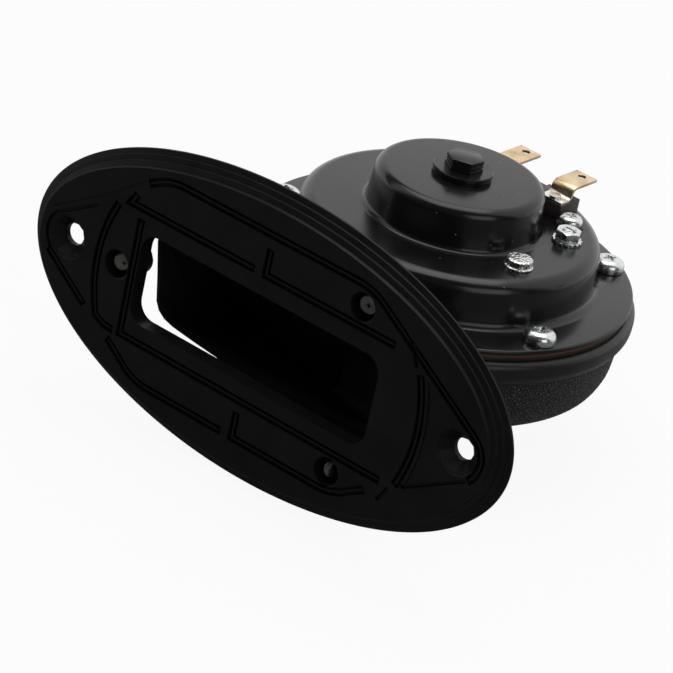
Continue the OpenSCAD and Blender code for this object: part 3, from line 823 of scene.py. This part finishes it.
def lockNut():
    r, low, top, pitch = (adjuster[key] for key in ("stud", "nutLow", "nutTop", "pitch"))
    nut = hexPrism(adjuster["nut"], low - 0.4, top + 0.4)
    cut(nut, chamferBody(adjuster["nut"], low, top), "INTERSECT")
    rings = [(0, low - 1), (r + 0.4, low - 1), (r + 0.4, low), (r + 0.08, low + 0.32)]
    for i in range(3):
        z = low + 0.4 + i * pitch
        rings += [(r + 0.26, z + 0.2), (r + 0.08, z + 0.42)]
    rings += [(r + 0.08, top - 0.34), (r + 0.42, top), (r + 0.42, top + 1), (0, top + 1)]
    cut(nut, turnedPiece(rings, 0, 0, 48))
    softenEdges(nut, 0.09, 28)
    placed = moveTo(nut, onSounder(adjustPlace), adjuster["nutTurn"])
    dress(placed, "lockNut", zinc, "lock_nut", "lock_nut", 30)


def adjustingStud():
    r, low, top, pitch = (adjuster[key] for key in ("stud", "low", "top", "pitch"))
    line = [(0, low), (r - 0.5, low)]
    for i in range(int((top - low - 0.9) / pitch)):
        z = low + 0.4 + i * pitch
        line += [(r - 0.28, z), (r - 0.04, z + pitch / 2)]
    line += [(r - 0.04, top - 0.25), (r - 0.25, top), (0, top)]
    stud = turnedPiece(line, 0, 0, 48)
    wide, deep = adjuster["slot"]
    cut(stud, roundedBlock(0, 0, 6, wide, 0.1, top - deep, top + 1, 1))
    softenEdges(stud, 0.05, 45, 1)
    placed = moveTo(stud, onSounder(adjustPlace))
    dress(placed, "adjustingStud", zinc, "adjusting_screw", "adjusting_screw", 35)


def toothedWasher():
    bore, outer, low, top = (adjuster[key] for key in ("bore", "washer", "washerLow", "washerTop"))
    disc = turnedPiece([(bore, low), (outer - 0.1, low), (outer, low + 0.1), (outer, top - 0.1), (outer - 0.1, top),
                        (bore, top), (bore, low)], 0, 0, 84)
    notch = roundedBlock(outer, 0, 0.6, 0.7, 0.2, low - 0.5, top + 0.5, 4)
    notches = [copyTo(notch, (0, 0, 0), 360 * i / adjuster["teeth"]) for i in range(adjuster["teeth"])]
    bpy.data.objects.remove(notch)
    cut(disc, joinPieces(notches, "notches"))
    placed = moveTo(disc, onSounder(adjustPlace))
    dress(placed, "toothedWasher", zinc, "horn", "lock_washer", 30)


lockNut()
adjustingStud()
toothedWasher()

# The knurled stud: a low barrel with a diamond knurl, on a thin disc
knurl = {"disc": 3.6, "barrel": 3.3, "deep": 0.2, "low": 15.5, "discTop": 16.1, "top": 17.9, "teeth": 26, "rows": 8,
         "shank": 1.6, "under": 2.6, "foot": (12.7, 14.3), "turn": -18.2}


def knurledStud():
    k = knurl
    base, rows = k["barrel"] - k["deep"], k["rows"]
    span = (k["top"] - 0.3 - k["discTop"] - 0.1) / (rows - 1)
    footLow, footTop = k["foot"]
    line = [(0, footLow), (k["under"], footLow), (k["under"], footTop), (k["shank"], footTop), (k["shank"], k["low"]),
            (k["disc"] - 0.1, k["low"]), (k["disc"], k["low"] + 0.15), (k["disc"], k["discTop"] - 0.2),
            (k["disc"] - 0.2, k["discTop"])]
    line += [(base, k["discTop"] + 0.1 + span * i) for i in range(rows)]
    line += [(base - 0.3, k["top"] - 0.05), (base - 1.0, k["top"]), (0, k["top"])]
    stud = turnedPiece(line, 0, 0, k["teeth"] * 2)
    editAll()

    def crest(place, vertex):
        if abs(math.hypot(place.x, place.y) / mm - base) > 0.02:
            return False
        row = round((place.z / mm - k["discTop"] - 0.1) / span)
        column = round(math.degrees(math.atan2(place.y, place.x)) / (180 / k["teeth"]))
        return (row + column) % 2 == 0

    pick(stud, crest, "VERT")
    scaleBy(k["barrel"] / base, k["barrel"] / base)
    backToObject()
    placed = moveTo(stud, onSounder(studPlace), k["turn"])
    dress(placed, "knurledStud", knurledZinc, "horn", "knurled_stud", 25)


knurledStud()

# The screw that holds the core: two stacked hexagons with a neck between, on a stepped washer
coreScrew = {
    "across": 4.8, "low": 28.0, "top": 28.88, "shank": 2.5, "end": 17.0, "pitch": 0.8, "turns": 13, "turn": -6,
    "rise": ((4.3, 0.0), (4.3, 0.22), (4.65, 0.0), (4.65, 0.55), (4.43, 0.0), (4.43, 0.16), (4.65, 0.0),
             (4.65, 1.09)),  # across, height
}
coreWasher = {"bore": 2.6, "lower": (7.1, 26.2, 26.9), "upper": (7.4, 26.9, 28.0)}


def hexScrew():
    c = coreScrew
    across = c["across"]
    head = hexPrism(across, c["low"], c["top"])
    editAll()
    pick(head, lambda middle, face: face.normal.z > 0.9)
    for size, step in c["rise"]:
        pull((0, 0, step * mm))
        scaleBy(size / across, size / across)
        across = size
    closeShape(head)
    thin, wide, join = c["shank"] - 0.4, c["shank"] - 0.03, c["low"] + 0.3
    shank = [(0, c["end"]), (thin, c["end"])]
    for i in range(c["turns"]):
        z = c["end"] + 0.4 + c["pitch"] * i
        shank += [(thin, z), (wide, z + 0.4)]
    cut(head, turnedPiece(shank + [(wide, join), (0, join)], 0, 0, 40), "UNION")
    softenEdges(head, 0.07, 40)
    placed = moveTo(head, onSounder((sounder["x"], 0)), c["turn"])
    dress(placed, "coreScrew", brushedBlack, "horn", "core_screw", 30)


def steppedWasher():
    line = []
    for r, low, top in (coreWasher["lower"], coreWasher["upper"]):
        line += [(r - 0.15, low), (r, low + 0.15), (r, top - 0.2), (r - 0.2, top)]
    bore = coreWasher["bore"]
    line = [(bore, line[0][1])] + line + [(bore, line[-1][1])]
    washer = turnedPiece(line + line[:1], steps=96)
    dress(washer, "steppedWasher", brushedBlack, "horn", "core_washer", 35)


hexScrew()
steppedWasher()

# The spade terminals: strip that steps up in two bends, chamfered at the tip, with its latching hole
spade = {
    "wide": 6.3, "thick": 0.8, "seat": 19.2, "blade": 22.2, "start": 21.8, "joggle": 24.7, "bend": 1.5, "end": 36.1,
    "hole": 1.05, "holeAt": 33.9, "rivetHole": 1.05, "rivetAt": 23.3, "chamfer": 0.9, "levels": (15, 21, 25),
}


def spadeTerminal(name, x, drop, replaced):
    s = spade
    low, high = s["seat"] + s["thick"] / 2, s["blade"] + s["thick"] / 2 - drop
    bend = min(s["bend"], (high - low) / 2)
    line = [(s["start"], low), (s["joggle"] - 1.4, low)] + arcPoints(s["joggle"], low + bend, bend, 270, 360, 8)
    line += arcPoints(s["joggle"] + 2 * bend, high - bend, bend, 180, 90, 8)
    line += [(s["end"] - 2.6, high), (s["end"], high)]
    strip = startPoint(-s["wide"] / 2, *line[0])
    for (y, z), (nextY, nextZ) in zip(line, line[1:]):
        if (y, z) != (nextY, nextZ):
            pull((0, (nextY - y) * mm, (nextZ - z) * mm))
    bpy.ops.mesh.select_all(action="SELECT")
    bpy.ops.mesh.remove_doubles(threshold=weldGap / 2)
    pull((s["wide"] * mm, 0, 0))
    pick(strip, lambda place, vertex: place.y > (s["end"] - 0.01) * mm, "VERT")
    bpy.ops.mesh.bevel(offset=s["chamfer"] * mm, segments=1, affect="VERTICES")
    backToObject()
    settle(strip)
    addModifier(strip, "SOLIDIFY", thickness=s["thick"] * mm, offset=0.0, use_even_offset=True, use_rim=True)
    below, middle, above = s["levels"]
    cut(strip, rod(s["rivetHole"], below, middle, 0, s["rivetAt"]))
    cut(strip, rod(s["hole"], middle, above, 0, s["holeAt"]))
    softenEdges(strip, 0.1, 40)
    dress(moveTo(strip, onSounder((x, 0))), name, brass, "horn", replaced, 35)


spadeTerminal("nearTerminal", 13, 0.0, "near_terminal")
spadeTerminal("farTerminal", -4.2, 0.8, "far_terminal")

# The insulating block under them, with a relief between the two seats and hollows for the dome and the step
block = {"x": (-9, 16.5), "y": (21.7, 29.9), "z": (15.5, 19.2), "corner": 0.5, "relief": (4.4, 5.0, 0.7),
         "rivetHole": 1.05, "clear": (23.4, 17.3, 22.2), "edge": 0.28}


def terminalBlock():
    (x0, x1), (y0, y1), (low, top) = block["x"], block["y"], block["z"]
    y = sounder["y"] + (y0 + y1) / 2
    piece = roundedBlock((x0 + x1) / 2, y, x1 - x0, y1 - y0, block["corner"], low, top, 4)
    middle, wide, deep = block["relief"]
    cut(piece, roundedBlock(middle, y, wide, 12, 0.3, top - deep, top + 1, 2))
    foot, level, wall = block["clear"]
    dome = [(0, low - 1), (foot, low - 1), (foot, level), (wall, level), (wall, top + 1), (0, top + 1)]
    cut(piece, turnedPiece(dome, steps=96))
    for place in rivetPlaces:
        cut(piece, rod(block["rivetHole"], low - 1, top + 1, *onSounder(place)[:2]))
    softenEdges(piece, block["edge"], 40, 3)
    dress(piece, "terminalBlock", blockMoulding, "horn", "terminal_block", 35)


terminalBlock()


# The stage: a white floor and backdrop, plain soft light, and the camera where the photograph's stood
studio = {
    "floor": (12.0, (0, 0, -0.0374)), "backdrop": (5.2, (0, 2.6, 2.4)),  # size and place, metres
    "paper": (0.82, 0.82, 0.82, 1), "shadowShare": 0.08,
    "unlitSide": (-0.54, 0.84, 0.0), "paperDark": 0.0, "paperLit": 0.45, "paintedFrontShade": 0.1,
    "topSoftbox": {"size": 1.3, "power": 9.0, "place": (-0.25, 0.25, 1.5), "aim": (0, 0.05, 0)},
    "sideSoftbox": {"size": 0.8, "power": 2.5, "place": (1.2, -0.35, 0.55), "aim": (0.03, 0.04, 0)},
    "worldLight": 0.5,
    # angle from the back of the room, glow
    "room": ((0, 1.0), (36, 1.0), (42, 0.08), (60, 0.08), (66, 0.9), (96, 0.9), (110, 0.07), (180, 0.04)),
    "cameraAt": (0.46943, -0.69420, 0.42021), "focal": 216.98, "sensor": 36, "clip": (0.05, 50),
    "across": (0.76572, 0.61286, 0.19514), "down": (0.4192, -0.24545, -0.87409), "ahead": (-0.4878, 0.75111, -0.44485),
}


# White to the camera, in gloss and through glass, with a small share left to real light so that a shadow shows.
# In gloss the paper's glow is painted darker in front of the horn, as painted shade for the room's unlit side.
def whiteCard(name):
    material, plain = newFinish(name, Base_Color=studio["paper"], Roughness=0.9, Specular_IOR_Level=0.1)
    ray = node(material, "LightPath").outputs
    # Painted shade: the glow seen in gloss falls off towards the front
    away = node(material, "VectorMath", {0: objectPlace(material), 1: studio["unlitSide"]}, operation="DOT_PRODUCT")
    back = between(material, away.outputs["Value"], studio["paintedFrontShade"], 1.0, studio["paperDark"], studio["paperLit"])
    white = node(material, "Math", {0: ray["Is Camera Ray"], 1: back}, operation="MAXIMUM")
    glow = node(material, "Emission", {"Color": (1, 1, 1, 1), "Strength": white.outputs[0]})
    seen = node(material, "Math", {0: ray["Is Camera Ray"], 1: ray["Is Glossy Ray"]}, operation="MAXIMUM")
    seen = node(material, "Math", {0: seen.outputs[0], 1: ray["Is Transmission Ray"]}, operation="MAXIMUM")
    share = node(material, "Math", {0: seen.outputs[0], 1: 1 - studio["shadowShare"]}, operation="MULTIPLY")
    mix = node(material, "MixShader", {0: share.outputs[0], 1: plain.outputs[0], 2: glow.outputs[0]})
    material.node_tree.links.new(mix.outputs[0], material.node_tree.nodes["Material Output"].inputs["Surface"])
    return material


def paperSheet(name, size, place, tilt, card):
    deselect()
    bpy.ops.mesh.primitive_plane_add(size=size, location=place, rotation=(math.radians(tilt), 0, 0))
    sheet = bpy.context.object
    sheet.name = name
    sheet.data.materials.append(whiteCard(card))
    settle(sheet)


def softbox(name):
    lamp = bpy.data.lights.new(name, "AREA")
    lamp.shape, lamp.size, lamp.energy = "SQUARE", studio[name]["size"], studio[name]["power"]
    box = bpy.data.objects.new(name, lamp)
    bpy.context.scene.collection.objects.link(box)
    box.location = studio[name]["place"]
    box.rotation_euler = (Vector(studio[name]["aim"]) - box.location).to_track_quat("-Z", "Y").to_euler()


# White to the camera and an even grey to matt surfaces. Gloss mirrors a room whose glow depends on the angle
# from its back, over the top, to its front.
def studioWorld():
    world = bpy.data.worlds.new("studioWorld")
    bpy.context.scene.world = world
    world.use_nodes = True
    ray = node(world, "LightPath").outputs
    place = node(world, "TexCoord").outputs["Generated"]
    ahead = Vector((studio["ahead"][0], studio["ahead"][1], 0)).normalized()
    level = node(world, "VectorMath", {0: place, 1: ahead}, operation="DOT_PRODUCT")
    upright = node(world, "SeparateXYZ", {0: place})
    turn = node(world, "Math", {0: upright.outputs["Z"], 1: level.outputs["Value"]}, operation="ARCTAN2")
    share = node(world, "Math", {0: turn.outputs[0], 1: math.pi}, operation="DIVIDE")
    room = ramp(world, share.outputs[0], [(degrees / 180, (glow, glow, glow)) for degrees, glow in studio["room"]])
    seen = node(world, "Mix", {"Factor": ray["Is Camera Ray"], "A": room, "B": 1.0})
    lit = node(world, "Mix", {"Factor": ray["Is Diffuse Ray"], "A": seen.outputs["Result"], "B": studio["worldLight"]})
    back = world.node_tree.nodes["Background"]
    back.inputs["Color"].default_value = (1, 1, 1, 1)
    world.node_tree.links.new(lit.outputs["Result"], back.inputs["Strength"])


def photoCamera():
    eye = bpy.data.cameras.new("photoCamera")
    eye.lens, eye.sensor_width = studio["focal"], studio["sensor"]
    eye.clip_start, eye.clip_end = studio["clip"]
    camera = bpy.data.objects.new("photoCamera", eye)
    bpy.context.scene.collection.objects.link(camera)
    across, down, ahead = (Vector(studio[key]) for key in ("across", "down", "ahead"))
    turn = Matrix((across, -down, -ahead)).transposed()
    camera.matrix_world = Matrix.Translation(Vector(studio["cameraAt"])) @ turn.to_4x4()
    bpy.context.scene.camera = camera
    bpy.context.scene.view_settings.view_transform = "Standard"


paperSheet("studioFloor", *studio["floor"], 0, "floorPaper")
paperSheet("studioBackdrop", *studio["backdrop"], 90, "backdropPaper")
softbox("topSoftbox")
softbox("sideSoftbox")
studioWorld()
photoCamera()
print("stage set")
